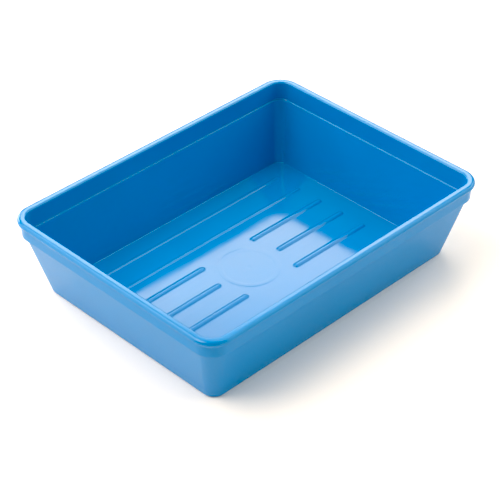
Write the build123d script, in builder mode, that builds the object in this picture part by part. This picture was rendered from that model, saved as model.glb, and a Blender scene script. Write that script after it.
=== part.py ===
from build123d import *
import os

# Moulded plastic pan for joint compound: a wide open tray with a beaded rim, a stiffening
# band below the rim, drafted walls and a ribbed floor. It is one injection moulding.
# Millimetres, +Z up. The origin is the middle of the base, on the surface the pan stands on.
# X runs along the long side.

# ---- overall size ----
RIM_LENGTH = 370.0
RIM_WIDTH = 278.4
HEIGHT = 87.0
RIM_CORNER = 23.3

# ---- bead round the rim, with a sloped underside ----
BEAD_EDGE_DEPTH = 4.9
BEAD_UNDERSIDE_RISE = 1.9
BEAD_OVERHANG = 2.7
BEAD_ROUND = 3.2
BEAD_ROOT_ROUND = 2.2

# ---- outer band below the bead, and the sloped shoulder under it ----
BAND_DEPTH = 19.0
BAND_DRAFT = 0.5
SHOULDER_DROP = 2.6
SHOULDER_INSET = 3.7
SHOULDER_ROUND = 0.9

# ---- drafted wall and base ----
WALL_TOP_CORNER = 16.5
BASE_LENGTH = 322.4
BASE_WIDTH = 232.7
BASE_CORNER = 12.6
BASE_ROUND = 3.0

# ---- inside ----
FLOOR = 2.2
WALL = 3.9
RIM_THICKNESS = 5.7
RIM_INNER_ROUND = 2.0
UPPER_DRAFT = 0.6
UPPER_BOTTOM_CORNER = 12.0
LEDGE_DEPTH = 20.6
LEDGE_ROUND = 0.7
FLOOR_ROUND = 3.0

# ---- ribs on the floor, all along X and evenly pitched across Y ----
RIB_PITCH = 30.3
RIB_END = 135.0
RIB_TAPER = 30.0
LONG_RIB_ROWS = (-3, -2, 2, 3)
LONG_RIB_WIDTH = 4.6
LONG_RIB_HEIGHT = 0.9
LONG_RIB_ROUND = 0.4
SPLIT_RIB_STARTS = {-1: 32.2, 0: 39.7, 1: 32.2}
SPLIT_RIB_WIDTH = 6.8
SPLIT_RIB_HEIGHT = 1.4
SPLIT_RIB_ROUND = 0.7

# ---- moulded ring and gate mark in the middle of the floor ----
RING_OUTER = 31.0
RING_INNER = 26.5
RING_HEIGHT = 0.2
GATE_RADIUS = 2.0
GATE_DEPTH = 0.2

# ---- levels ----
bead_edge = HEIGHT - BEAD_EDGE_DEPTH
bead_root = bead_edge - BEAD_UNDERSIDE_RISE
band_bottom = HEIGHT - BAND_DEPTH
wall_top = band_bottom - SHOULDER_DROP
ledge_level = HEIGHT - LEDGE_DEPTH

# ---- distances in from the outside of the rim ----
band_bottom_inset = BEAD_OVERHANG + BAND_DRAFT
wall_top_inset = band_bottom_inset + SHOULDER_INSET
rim_inner_inset = BEAD_OVERHANG + RIM_THICKNESS
upper_bottom_inset = rim_inner_inset + UPPER_DRAFT

# ---- sizes that follow ----
wall_top_length = RIM_LENGTH - 2 * wall_top_inset
wall_top_width = RIM_WIDTH - 2 * wall_top_inset
band_bottom_corner = RIM_CORNER - band_bottom_inset
band_top_corner = RIM_CORNER - BEAD_OVERHANG
rim_inner_corner = RIM_CORNER - rim_inner_inset

LEVEL_TOLERANCE = 0.01


def rounded_section(level, length, width, corner):
    """A rounded rectangle, centred on the Z axis, at one level."""
    with BuildSketch(Plane.XY.offset(level)) as section:
        RectangleRounded(length, width, corner)
    return section.sketch


def rim_section(level, inset, corner):
    """A section given by its distance in from the outside of the rim."""
    return rounded_section(level, RIM_LENGTH - 2 * inset, RIM_WIDTH - 2 * inset, corner)


def wall_section(level, inset):
    """A section of the drafted wall at one level, moved in by inset."""
    rise = level / wall_top
    length = BASE_LENGTH + rise * (wall_top_length - BASE_LENGTH)
    width = BASE_WIDTH + rise * (wall_top_width - BASE_WIDTH)
    corner = BASE_CORNER + rise * (WALL_TOP_CORNER - BASE_CORNER)
    return rounded_section(level, length - 2 * inset, width - 2 * inset, corner - inset)


def edges_at(part, level):
    """The edges that lie flat at one level."""
    return part.edges().filter_by_position(
        Axis.Z, level - LEVEL_TOLERANCE, level + LEVEL_TOLERANCE
    )


def flat_face_at(part, level):
    """The level face at one level."""
    level_faces = part.faces().filter_by(Plane.XY)
    return level_faces.filter_by_position(
        Axis.Z, level - LEVEL_TOLERANCE, level + LEVEL_TOLERANCE
    )[0]


def add_rib(row, start, end, width, height):
    """A round-ended rib along X, from start to end, on one row. Its sides lean in."""
    with BuildSketch(Plane.XY.offset(FLOOR)) as outline:
        with Locations(((start + end) / 2, row * RIB_PITCH)):
            SlotOverall(end - start, width)
    extrude(outline.sketch, amount=height, taper=RIB_TAPER)


with BuildPart() as tray:
    # Drafted wall, from the base up to the shoulder.
    loft([wall_section(0, 0), wall_section(wall_top, 0)], ruled=True)

    # Sloped shoulder out to the band.
    loft(
        [
            rim_section(wall_top, wall_top_inset, WALL_TOP_CORNER),
            rim_section(band_bottom, band_bottom_inset, band_bottom_corner),
        ],
        ruled=True,
    )

    # Band, slightly narrower at its bottom.
    loft(
        [
            rim_section(band_bottom, band_bottom_inset, band_bottom_corner),
            rim_section(bead_root, BEAD_OVERHANG, band_top_corner),
        ],
        ruled=True,
    )

    # Sloped underside of the bead.
    loft(
        [
            rim_section(bead_root, BEAD_OVERHANG, band_top_corner),
            rim_section(bead_edge, 0, RIM_CORNER),
        ],
        ruled=True,
    )

    # Bead above it, square in section until its edges are rounded.
    with BuildSketch(Plane.XY.offset(bead_edge)):
        RectangleRounded(RIM_LENGTH, RIM_WIDTH, RIM_CORNER)
    extrude(amount=BEAD_EDGE_DEPTH)

    # Outer edges, from the base to the top of the bead.
    fillet(edges_at(tray, 0), BASE_ROUND)
    fillet(edges_at(tray, wall_top), SHOULDER_ROUND)
    fillet(edges_at(tray, band_bottom), SHOULDER_ROUND)
    fillet(edges_at(tray, bead_root), BEAD_ROOT_ROUND)
    fillet(edges_at(tray, bead_edge) + edges_at(tray, HEIGHT), BEAD_ROUND)

    # Lower cavity, with walls parallel to the outside.
    loft([wall_section(FLOOR, WALL), wall_section(ledge_level, WALL)], ruled=True, mode=Mode.SUBTRACT)

    # Upper cavity, wider by the ledge.
    loft(
        [
            rim_section(ledge_level, upper_bottom_inset, UPPER_BOTTOM_CORNER),
            rim_section(HEIGHT, rim_inner_inset, rim_inner_corner),
        ],
        ruled=True,
        mode=Mode.SUBTRACT,
    )

    # Inner edges.
    fillet(edges_at(tray, FLOOR), FLOOR_ROUND)
    fillet(flat_face_at(tray, ledge_level).edges(), LEDGE_ROUND)
    fillet(flat_face_at(tray, HEIGHT).inner_wires()[0].edges(), RIM_INNER_ROUND)

    # Long ribs near the long walls.
    for row in LONG_RIB_ROWS:
        add_rib(row, -RIB_END, RIB_END, LONG_RIB_WIDTH, LONG_RIB_HEIGHT)
    fillet(edges_at(tray, FLOOR + LONG_RIB_HEIGHT), LONG_RIB_ROUND)

    # Split ribs, which stop short of the ring in the middle.
    for row, start in SPLIT_RIB_STARTS.items():
        add_rib(row, start, RIB_END, SPLIT_RIB_WIDTH, SPLIT_RIB_HEIGHT)
        add_rib(row, -RIB_END, -start, SPLIT_RIB_WIDTH, SPLIT_RIB_HEIGHT)
    fillet(edges_at(tray, FLOOR + SPLIT_RIB_HEIGHT), SPLIT_RIB_ROUND)

    # Shallow ring in the middle of the floor.
    with BuildSketch(Plane.XY.offset(FLOOR)):
        Circle(RING_OUTER)
        Circle(RING_INNER, mode=Mode.SUBTRACT)
    extrude(amount=RING_HEIGHT)

    # Gate mark, a shallow round dimple.
    with BuildSketch(Plane.XY.offset(FLOOR)):
        Circle(GATE_RADIUS)
    extrude(amount=-GATE_DEPTH, mode=Mode.SUBTRACT)

tray.part.label = "tray"
os.makedirs("parts", exist_ok=True)
export_step(tray.part, "parts/tray.step")
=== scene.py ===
import math

import bpy
import numpy as np
from mathutils import Matrix, Vector


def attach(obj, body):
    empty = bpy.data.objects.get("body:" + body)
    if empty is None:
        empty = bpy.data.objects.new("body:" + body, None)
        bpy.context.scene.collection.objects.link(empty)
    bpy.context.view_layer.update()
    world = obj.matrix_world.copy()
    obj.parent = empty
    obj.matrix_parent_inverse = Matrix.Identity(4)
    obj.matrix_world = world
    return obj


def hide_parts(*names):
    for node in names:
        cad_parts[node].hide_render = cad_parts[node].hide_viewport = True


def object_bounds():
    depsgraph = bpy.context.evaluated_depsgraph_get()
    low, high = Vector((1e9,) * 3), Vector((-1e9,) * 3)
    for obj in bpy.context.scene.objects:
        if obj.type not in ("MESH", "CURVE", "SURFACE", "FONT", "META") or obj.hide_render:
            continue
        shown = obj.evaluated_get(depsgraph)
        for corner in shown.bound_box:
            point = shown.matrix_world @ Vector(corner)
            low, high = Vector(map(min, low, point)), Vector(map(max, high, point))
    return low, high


# One moulded plastic pan for joint compound, rebuilt as a fine mesh in place of its CAD solid.
# Lengths are in millimetres, as in the CAD source, and MM turns them into metres.
MM = 0.001

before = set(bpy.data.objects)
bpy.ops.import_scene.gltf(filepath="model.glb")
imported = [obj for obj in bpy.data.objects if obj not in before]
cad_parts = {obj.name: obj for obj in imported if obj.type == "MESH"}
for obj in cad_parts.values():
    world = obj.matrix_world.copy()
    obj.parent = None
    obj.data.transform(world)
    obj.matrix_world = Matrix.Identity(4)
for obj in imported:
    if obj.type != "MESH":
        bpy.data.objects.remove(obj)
cad_low, cad_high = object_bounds()

# ---- the pan's sizes ----
RIM_LENGTH = (cad_high.x - cad_low.x) / MM
RIM_WIDTH = (cad_high.y - cad_low.y) / MM
HEIGHT = (cad_high.z - cad_low.z) / MM
RIM_CORNER = 23.3

BEAD_ROUND = 3.2
BEAD_OVERHANG = 2.7
BEAD_EDGE_DEPTH = 4.9
BEAD_UNDERSIDE_RISE = 1.9
BEAD_ROOT_ROUND = 2.2

BAND_DEPTH = 19.0
BAND_DRAFT = 0.5
SHOULDER_DROP = 2.6
SHOULDER_INSET = 3.7
SHOULDER_ROUND = 0.9

WALL_TOP_CORNER = 16.5
BASE_LENGTH = 322.4
BASE_WIDTH = 232.7
BASE_CORNER = 12.6
BASE_ROUND = 3.0

FLOOR_EDGE = 1.3
FLOOR_CROWN = 1.3
WALL = 3.9
RIM_THICKNESS = 5.7
RIM_INNER_ROUND = 2.0
UPPER_DRAFT = 0.6
UPPER_BOTTOM_CORNER = 12.0
LEDGE_DEPTH = 20.6
LEDGE_ROUND = 0.7
FLOOR_ROUND = 1.0

RIB_PITCH = 30.3
RIB_END = 135.0
RIB_FOOT_BLEND = 0.4
RIB_FLATNESS = 2.3
LONG_RIB_ROWS = (-3, -2, 2, 3)
LONG_RIB_WIDTH = 4.6
LONG_RIB_HEIGHT = 0.9
SPLIT_RIB_STARTS = {-1: 32.2, 0: 39.7, 1: 32.2}
SPLIT_RIB_WIDTH = 6.8
SPLIT_RIB_HEIGHT = 1.4

RING_OUTER = 31.0
RING_INNER = 26.5
RING_HEIGHT = 0.06
RING_EDGE = 1.2
GATE_RADIUS = 2.0
GATE_DEPTH = 0.05

# ---- sizes that follow ----
bead_edge = HEIGHT - BEAD_EDGE_DEPTH
bead_root = bead_edge - BEAD_UNDERSIDE_RISE
band_bottom = HEIGHT - BAND_DEPTH
wall_top = band_bottom - SHOULDER_DROP
ledge_level = HEIGHT - LEDGE_DEPTH
band_bottom_inset = BEAD_OVERHANG + BAND_DRAFT
wall_top_inset = band_bottom_inset + SHOULDER_INSET
rim_inner_inset = BEAD_OVERHANG + RIM_THICKNESS
upper_bottom_inset = rim_inner_inset + UPPER_DRAFT
wall_top_length = RIM_LENGTH - 2 * wall_top_inset
wall_top_width = RIM_WIDTH - 2 * wall_top_inset

# ---- how finely the mesh is cut ----
ARC_STEPS = 7
CORNER_STEPS = 20
LONG_SIDE_STEPS = 26
SHORT_SIDE_STEPS = 20
SIDE_SUPPORT = 0.12
SUPPORT_GAP = 0.4
SECTION_SPACING = 9.0
GRID_MARGIN = 6.0
GRID_COARSE = 5.0
GRID_FINE = 0.42
GRID_FINE_REACH = 4.2
GRID_RING = 0.55
GRID_RING_MARGIN = 2.0
GRID_NEAREST = 0.45 * GRID_FINE
FURTHEST_SHARE = 3


# ---------------------------------------------------------------- sections of the wall

def section(length, width, corner, level):
    """A rounded rectangle: half length, half width, corner radius and level."""
    return np.array([length / 2, width / 2, corner, level])


def rim_section(level, inset, corner=None):
    """A section given by its distance in from the outside of the rim."""
    corner = RIM_CORNER - inset if corner is None else corner
    return section(RIM_LENGTH - 2 * inset, RIM_WIDTH - 2 * inset, corner, level)


def wall_section(level, inset):
    """A section of the drafted wall at one level, moved in by inset."""
    rise = level / wall_top
    length = BASE_LENGTH + rise * (wall_top_length - BASE_LENGTH)
    width = BASE_WIDTH + rise * (wall_top_width - BASE_WIDTH)
    corner = BASE_CORNER + rise * (WALL_TOP_CORNER - BASE_CORNER)
    return section(length - 2 * inset, width - 2 * inset, corner - inset, level)


def wall_outline():
    """The wall's corners as (section, rounding), from the floor over the rim to the base."""
    return [
        (wall_section(FLOOR_EDGE, WALL + 2 * FLOOR_ROUND), 0),
        (wall_section(FLOOR_EDGE, WALL), FLOOR_ROUND),
        (wall_section(ledge_level, WALL), LEDGE_ROUND),
        (rim_section(ledge_level, upper_bottom_inset, UPPER_BOTTOM_CORNER), LEDGE_ROUND),
        (rim_section(HEIGHT, rim_inner_inset), RIM_INNER_ROUND),
        (rim_section(HEIGHT, 0), BEAD_ROUND),
        (rim_section(bead_edge, 0), BEAD_ROUND),
        (rim_section(bead_root, BEAD_OVERHANG), BEAD_ROOT_ROUND),
        (rim_section(band_bottom, band_bottom_inset), SHOULDER_ROUND),
        (wall_section(wall_top, 0), SHOULDER_ROUND),
        (wall_section(0, 0), BASE_ROUND),
        (wall_section(0, 3 * BASE_ROUND), 0),
    ]


def span(first, second):
    """Distance between two sections within the wall's cross-section."""
    run = (second[0] - first[0] + second[1] - first[1]) / 2
    return math.hypot(run, second[3] - first[3])


def rounded_corner(before, corner, after, radius):
    """Sections along the arc that rounds one corner of the outline."""
    back = (before - corner) / span(before, corner)
    ahead = (after - corner) / span(after, corner)
    cosine = (back[0] + back[1]) * (ahead[0] + ahead[1]) / 4 + back[3] * ahead[3]
    half_angle = math.acos(cosine) / 2
    sweep = math.pi - 2 * half_angle
    arc = []
    for step in range(ARC_STEPS + 1):
        turn = sweep * (step / ARC_STEPS - 0.5)
        depth = radius / math.sin(half_angle) - radius * math.cos(turn)
        inward = depth / (2 * math.cos(half_angle))
        sideways = radius * math.sin(turn) / (2 * math.sin(half_angle))
        arc.append(corner + (inward - sideways) * back + (inward + sideways) * ahead)
    return arc


def wall_sections():
    """Every section of the wall's mesh, with support sections beside each rounding."""
    corners = wall_outline()
    stretches = []
    for index, (corner, radius) in enumerate(corners):
        if radius == 0:
            stretches.append([corner])
        else:
            before = corners[index - 1][0]
            after = corners[index + 1][0]
            stretches.append(rounded_corner(before, corner, after, radius))
    sections = list(stretches[0])
    for stretch in stretches[1:]:
        start, end = sections[-1], stretch[0]
        length = span(start, end)
        if length > 3 * SUPPORT_GAP:
            inner = length - 2 * SUPPORT_GAP
            pieces = max(1, round(inner / SECTION_SPACING))
            for step in range(pieces + 1):
                share = (SUPPORT_GAP + inner * step / pieces) / length
                sections.append(start + share * (end - start))
        sections.extend(stretch)
    return sections


def side_shares(steps):
    """Even steps along a straight side, with one support point near each end."""
    shares = [step / steps for step in range(steps + 1)]
    support = SIDE_SUPPORT / steps
    return [0.0, support] + shares[1:-1] + [1 - support]


def section_points(shape):
    """The points round one section, anticlockwise from the low end of the +X side."""
    half_length, half_width, corner, level = shape
    straight_x = half_length - corner
    straight_y = half_width - corner
    corners = ((1, 1), (-1, 1), (-1, -1), (1, -1))
    points = []
    for quarter, (sign_x, sign_y) in enumerate(corners):
        steps = SHORT_SIDE_STEPS if quarter % 2 == 0 else LONG_SIDE_STEPS
        start_angle = quarter * math.pi / 2
        outward = np.array([math.cos(start_angle), math.sin(start_angle)])
        centre = np.array([sign_x * straight_x, sign_y * straight_y])
        side_end = centre + corner * outward
        run = 2 * (straight_y if quarter % 2 == 0 else straight_x)
        along = np.array([-outward[1], outward[0]])
        side_start = side_end - run * along
        for share in side_shares(steps):
            points.append(side_start + share * run * along)
        for step in range(CORNER_STEPS):
            angle = start_angle + step / CORNER_STEPS * math.pi / 2
            points.append(centre + corner * np.array([math.cos(angle), math.sin(angle)]))
    return [(x, y, level) for x, y in points]


# ---------------------------------------------------------------- the ribbed floor

def smooth_maximum(first, second, blend):
    """The larger of two heights, with a small fillet where they cross."""
    overlap = np.maximum(blend - np.abs(first - second), 0)
    return np.maximum(first, second) + overlap ** 2 / (4 * blend)


def smooth_step(distance, width):
    """Falls from 1 to 0 as distance goes from -width/2 to width/2."""
    share = np.clip(0.5 - distance / width, 0, 1)
    return share * share * (3 - 2 * share)


def rib_spans():
    """Every rib as (row across Y, start, end, width, height)."""
    spans = [(row, -RIB_END, RIB_END, LONG_RIB_WIDTH, LONG_RIB_HEIGHT) for row in LONG_RIB_ROWS]
    for row, start in SPLIT_RIB_STARTS.items():
        spans.append((row, start, RIB_END, SPLIT_RIB_WIDTH, SPLIT_RIB_HEIGHT))
        spans.append((row, -RIB_END, -start, SPLIT_RIB_WIDTH, SPLIT_RIB_HEIGHT))
    return spans


def crown_height(x, y, flat_section):
    """Rise of the floor towards its middle. It falls to nothing at the foot of the walls."""
    across_x = np.clip(1 - (x / flat_section[0]) ** 2, 0, 1)
    across_y = np.clip(1 - (y / flat_section[1]) ** 2, 0, 1)
    return FLOOR_CROWN * across_x * across_y ** 2


def relief_height(x, y):
    """Height of the ribs, ring and gate mark above the floor, over a grid of points."""
    height = np.zeros_like(x)
    for row, start, end, width, rise in rib_spans():
        straight = (end - start - width) / 2
        beyond = np.maximum(np.abs(x - (start + end) / 2) - straight, 0)
        share = np.hypot(beyond, y - row * RIB_PITCH) / (width / 2)
        profile = rise * (1 - np.minimum(share, FURTHEST_SHARE) ** RIB_FLATNESS)
        height = smooth_maximum(height, profile, RIB_FOOT_BLEND)
    away = np.hypot(x, y)
    ring = smooth_step(away - RING_OUTER, RING_EDGE) - smooth_step(away - RING_INNER, RING_EDGE)
    gate = smooth_step(away - GATE_RADIUS, RING_EDGE)
    return height + RING_HEIGHT * ring - GATE_DEPTH * gate


def grid_lines(limit, centres):
    """Grid positions out to a limit: coarse, finer over the ring and finest at the ribs."""
    fine_count = round(GRID_FINE_REACH / GRID_FINE)
    fine = [step * GRID_FINE for step in range(-fine_count, fine_count + 1)]
    ring_count = round((RING_OUTER + GRID_RING_MARGIN) / GRID_RING)
    lines = [centre + offset for centre in centres for offset in fine]
    lines += [step * GRID_RING for step in range(-ring_count, ring_count + 1)]
    coarse_count = round(limit / GRID_COARSE)
    lines += [limit * step / coarse_count for step in range(-coarse_count, coarse_count + 1)]
    kept = [-limit]
    for line in sorted(lines):
        if line - kept[-1] > GRID_NEAREST and line < limit - GRID_NEAREST:
            kept.append(line)
    return kept + [limit]


class MeshMaker:
    """Collects points and faces in millimetres."""

    def __init__(self):
        self.points = []
        self.faces = []

    def add_points(self, points):
        first = len(self.points)
        self.points.extend(points)
        return list(range(first, len(self.points)))

    def join_loops(self, lower, upper):
        """Quads from one closed loop to the next, which has the same number of points."""
        count = len(lower)
        for index in range(count):
            following = (index + 1) % count
            self.faces.append((lower[index], upper[index], upper[following], lower[following]))

    def stitch_loops(self, inner, outer):
        """Triangles between two level loops round the Z axis, whatever their counts."""
        def turned(loop):
            angles = [math.atan2(self.points[i][1], self.points[i][0]) % math.tau for i in loop]
            start = angles.index(min(angles))
            return loop[start:] + loop[:start], angles[start:] + angles[:start]

        inner, inner_angles = turned(inner)
        outer, outer_angles = turned(outer)
        i = j = 0
        while i < len(inner) or j < len(outer):
            next_inner = inner_angles[i + 1] if i + 1 < len(inner) else math.tau + inner_angles[0]
            next_outer = outer_angles[j + 1] if j + 1 < len(outer) else math.tau + outer_angles[0]
            a, b = inner[i % len(inner)], outer[j % len(outer)]
            move_inner = j >= len(outer) or (i < len(inner) and next_inner < next_outer)
            if move_inner:
                self.faces.append((a, b, inner[(i + 1) % len(inner)]))
                i += 1
            else:
                self.faces.append((a, b, outer[(j + 1) % len(outer)]))
                j += 1

    def build(self, name):
        """A smooth-shaded object in metres, linked to the scene."""
        mesh = bpy.data.meshes.new(name)
        metres = [tuple(MM * value for value in point) for point in self.points]
        mesh.from_pydata(metres, [], self.faces)
        mesh.validate()
        mesh.polygons.foreach_set("use_smooth", [True] * len(mesh.polygons))
        mesh.update()
        made = bpy.data.objects.new(name, mesh)
        bpy.context.scene.collection.objects.link(made)
        return made


def add_floor(maker, flat_section):
    """The ribbed floor grid. Returns its border, anticlockwise."""
    ends = [RIB_END - SPLIT_RIB_WIDTH / 2]
    ends += [start + SPLIT_RIB_WIDTH / 2 for start in SPLIT_RIB_STARTS.values()]
    x_centres = sorted({side * end for end in ends for side in (-1, 1)})
    rows = list(LONG_RIB_ROWS) + list(SPLIT_RIB_STARTS)
    xs = grid_lines(flat_section[0] - GRID_MARGIN, x_centres)
    ys = grid_lines(flat_section[1] - GRID_MARGIN, [row * RIB_PITCH for row in rows])
    grid_x, grid_y = np.meshgrid(xs, ys, indexing="ij")
    crown = crown_height(grid_x, grid_y, flat_section)
    heights = FLOOR_EDGE + crown + relief_height(grid_x, grid_y)
    points = zip(grid_x.ravel(), grid_y.ravel(), heights.ravel())
    indices = np.array(maker.add_points([tuple(map(float, point)) for point in points]))
    indices = indices.reshape(len(xs), len(ys))
    low_corner, x_next = indices[:-1, :-1], indices[1:, :-1]
    diagonal, y_next = indices[1:, 1:], indices[:-1, 1:]
    quads = np.stack([low_corner, x_next, diagonal, y_next], axis=-1).reshape(-1, 4)
    maker.faces.extend(tuple(map(int, quad)) for quad in quads)
    border = list(indices[:-1, 0]) + list(indices[-1, :-1])
    border += list(indices[:0:-1, -1]) + list(indices[0, :0:-1])
    return [int(index) for index in border]


def make_tray():
    """The whole pan as one closed mesh."""
    maker = MeshMaker()
    sections = wall_sections()
    loops = [maker.add_points(section_points(shape)) for shape in sections]
    for lower, upper in zip(loops, loops[1:]):
        maker.join_loops(lower, upper)
    border = add_floor(maker, sections[0])
    maker.stitch_loops(border, loops[0])
    centre = maker.add_points([(0.0, 0.0, 0.0)])[0]
    base = loops[-1]
    for index, point in enumerate(base):
        maker.faces.append((point, centre, base[(index + 1) % len(base)]))
    return maker.build("tray_moulding")


# ---------------------------------------------------------------- materials

# Noise scales are in cells per metre, and rises are in metres.
PLASTIC_DEEP = (0.0, 0.177, 0.520)
PLASTIC_PALE = (0.0, 0.189, 0.550)
PLASTIC_IOR = 1.5
PIGMENT_SCALE = 14.0
GLOSSIEST = 0.09
DULLEST = 0.13
GLOSS_SCALE = 35.0
RIPPLE_SCALE = 28.0
RIPPLE_RISE = 0.00006
PEEL_SCALE = 650.0
PEEL_RISE = 0.000006
NOISE_LOW = 0.3
NOISE_HIGH = 0.7
PAPER_WHITE = (0.88, 0.885, 0.915)
PAPER_ROUGHNESS = 0.6


def new_material(name):
    """A material and its shader."""
    material = bpy.data.materials.new(name)
    material.use_nodes = True
    return material, material.node_tree.nodes["Principled BSDF"]


def add_noise(nodes, links, coordinates, scale, detail):
    """Noise in the object's own space. Scale is in cells per metre."""
    noise = nodes.new("ShaderNodeTexNoise")
    noise.inputs["Scale"].default_value = scale
    noise.inputs["Detail"].default_value = detail
    links.new(coordinates, noise.inputs["Vector"])
    return noise.outputs["Fac"]


def map_noise(nodes, links, factor, low, high):
    """Stretches the middle of a noise over a range of values."""
    mapping = nodes.new("ShaderNodeMapRange")
    mapping.inputs["From Min"].default_value = NOISE_LOW
    mapping.inputs["From Max"].default_value = NOISE_HIGH
    mapping.inputs["To Min"].default_value = low
    mapping.inputs["To Max"].default_value = high
    links.new(factor, mapping.inputs["Value"])
    return mapping.outputs["Result"]


def add_bump(nodes, links, height, rise, below=None):
    """A bump whose full height is rise, in metres, laid over another bump."""
    bump = nodes.new("ShaderNodeBump")
    bump.inputs["Distance"].default_value = rise
    links.new(height, bump.inputs["Height"])
    if below is not None:
        links.new(below, bump.inputs["Normal"])
    return bump.outputs["Normal"]


def blue_plastic():
    """Glossy blue moulded polypropylene: cloudy pigment, uneven gloss and a fine orange peel."""
    material, shader = new_material("blue_plastic")
    nodes = material.node_tree.nodes
    links = material.node_tree.links
    coordinates = nodes.new("ShaderNodeTexCoord").outputs["Object"]

    pigment = nodes.new("ShaderNodeMix")
    pigment.data_type = "RGBA"
    pigment.inputs["A"].default_value = (*PLASTIC_DEEP, 1)
    pigment.inputs["B"].default_value = (*PLASTIC_PALE, 1)
    clouds = add_noise(nodes, links, coordinates, PIGMENT_SCALE, 3)
    links.new(map_noise(nodes, links, clouds, 0, 1), pigment.inputs["Factor"])
    links.new(pigment.outputs["Result"], shader.inputs["Base Color"])

    gloss = add_noise(nodes, links, coordinates, GLOSS_SCALE, 5)
    roughness = map_noise(nodes, links, gloss, GLOSSIEST, DULLEST)
    links.new(roughness, shader.inputs["Roughness"])

    ripple = add_noise(nodes, links, coordinates, RIPPLE_SCALE, 1)
    peel = add_noise(nodes, links, coordinates, PEEL_SCALE, 2)
    rippled = add_bump(nodes, links, ripple, RIPPLE_RISE)
    links.new(add_bump(nodes, links, peel, PEEL_RISE, rippled), shader.inputs["Normal"])
    shader.inputs["IOR"].default_value = PLASTIC_IOR
    return material


def studio_white():
    """Matt white paper for the studio floor."""
    material, shader = new_material("studio_white")
    shader.inputs["Base Color"].default_value = (*PAPER_WHITE, 1)
    shader.inputs["Roughness"].default_value = PAPER_ROUGHNESS
    return material


# ---------------------------------------------------------------- stage, camera and lights

# Metres and degrees. CAMERA_AIM is the point in the middle of the picture.
FLOOR_REACH = 4.0
LIGHT_TINT = (1.0, 0.908, 0.755)
WORLD_STRENGTH = 0.21
RED_BLACK_LEVEL = 0.05
CAMERA_AZIMUTH = -45.09
CAMERA_ELEVATION = 36.67
CAMERA_ROLL = 0.26
CAMERA_DISTANCE = 1.6824
CAMERA_LENS = 126.13
CAMERA_SENSOR = 36
CAMERA_AIM = Vector((-0.019, -0.0197, 0.044))


def make_floor():
    """A plain level floor, centred under the pan."""
    mesh = bpy.data.meshes.new("studio_floor")
    signs = ((-1, -1), (1, -1), (1, 1), (-1, 1))
    corners = [(FLOOR_REACH * x, FLOOR_REACH * y, 0) for x, y in signs]
    mesh.from_pydata(corners, [], [(0, 1, 2, 3)])
    made = bpy.data.objects.new("studio_floor", mesh)
    made.data.materials.append(studio_white())
    bpy.context.scene.collection.objects.link(made)


def direction(azimuth, elevation):
    """Unit vector from the pan towards a camera or light, azimuth 0 being -Y."""
    a, e = math.radians(azimuth), math.radians(elevation)
    return Vector((math.sin(a) * math.cos(e), -math.cos(a) * math.cos(e), math.sin(e)))


def make_camera():
    """The photograph's camera, found by fitting the rim, base and floor lines."""
    data = bpy.data.cameras.new("camera")
    data.lens = CAMERA_LENS
    data.sensor_width = CAMERA_SENSOR
    made = bpy.data.objects.new("camera", data)
    back = direction(CAMERA_AZIMUTH, CAMERA_ELEVATION)
    turn = back.to_track_quat("Z", "Y").to_matrix().to_4x4()
    roll = Matrix.Rotation(math.radians(CAMERA_ROLL), 4, "Z")
    made.matrix_world = Matrix.Translation(CAMERA_AIM + CAMERA_DISTANCE * back) @ turn @ roll
    bpy.context.scene.collection.objects.link(made)
    bpy.context.scene.camera = made


def softbox(name, azimuth, elevation, distance, width, height, radiance):
    """A rectangular light that faces the pan and isn't itself seen by the camera."""
    data = bpy.data.lights.new(name, "AREA")
    data.shape = "RECTANGLE"
    data.color = LIGHT_TINT
    data.size = width
    data.size_y = height
    data.energy = radiance * math.pi * width * height
    made = bpy.data.objects.new(name, data)
    away = direction(azimuth, elevation)
    turn = away.to_track_quat("Z", "Y").to_matrix().to_4x4()
    made.matrix_world = Matrix.Translation(distance * away) @ turn
    made.visible_camera = False
    bpy.context.scene.collection.objects.link(made)


def make_lights():
    """Softboxes all round, each as azimuth, elevation, distance, width, height and radiance."""
    softbox("back_softbox_wide", 135, 36, 2.6, 1.3, 0.7, 4.7)
    softbox("back_softbox_core", 135, 34, 2.6, 1.2, 0.6, 1.1)
    softbox("back_top_softbox", 135, 65, 2.4, 1.2, 1.0, 1.5)
    softbox("overhead_softbox", 135, 89, 2.2, 2.0, 2.0, 0.3)
    softbox("back_right_softbox", 90, 62, 2.4, 1.2, 1.2, 2.3)
    softbox("far_right_softbox", 80, 30, 2.4, 1.4, 1.0, 3.0)
    softbox("right_softbox", 45, 32, 2.4, 1.8, 1.9, 2.3)
    softbox("front_right_softbox", 0, 18, 2.4, 1.4, 1.0, 1.7)
    softbox("low_front_softbox", 0, 6, 2.4, 2.0, 0.35, 1.1)
    softbox("front_left_softbox", -105, 50, 2.4, 1.4, 1.4, 2.6)
    softbox("low_left_softbox", -90, 18, 2.4, 1.4, 1.0, 0.5)
    softbox("left_wall_softbox", -132, 14, 2.4, 1.8, 1.1, 2.5)
    softbox("left_softbox", -130, 53, 2.4, 2.0, 2.0, 3.7)
    softbox("high_left_softbox", -170, 55, 2.4, 1.6, 1.0, 1.4)
    softbox("back_left_softbox", 180, 18, 2.4, 1.4, 1.0, 7.2)
    world = bpy.data.worlds.new("world")
    world.use_nodes = True
    background = world.node_tree.nodes["Background"]
    background.inputs["Color"].default_value = (*LIGHT_TINT, 1)
    background.inputs["Strength"].default_value = WORLD_STRENGTH
    bpy.context.scene.world = world


def set_view():
    """Standard view, with the photograph's own loss of red in deep blues."""
    view = bpy.context.scene.view_settings
    view.view_transform = "Standard"
    view.use_curve_mapping = True
    view.curve_mapping.black_level = (RED_BLACK_LEVEL, 0, 0)
    view.curve_mapping.update()


tray = make_tray()
tray.data.materials.append(blue_plastic())
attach(tray, "root")
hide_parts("tray")

make_floor()
make_camera()
make_lights()
set_view()
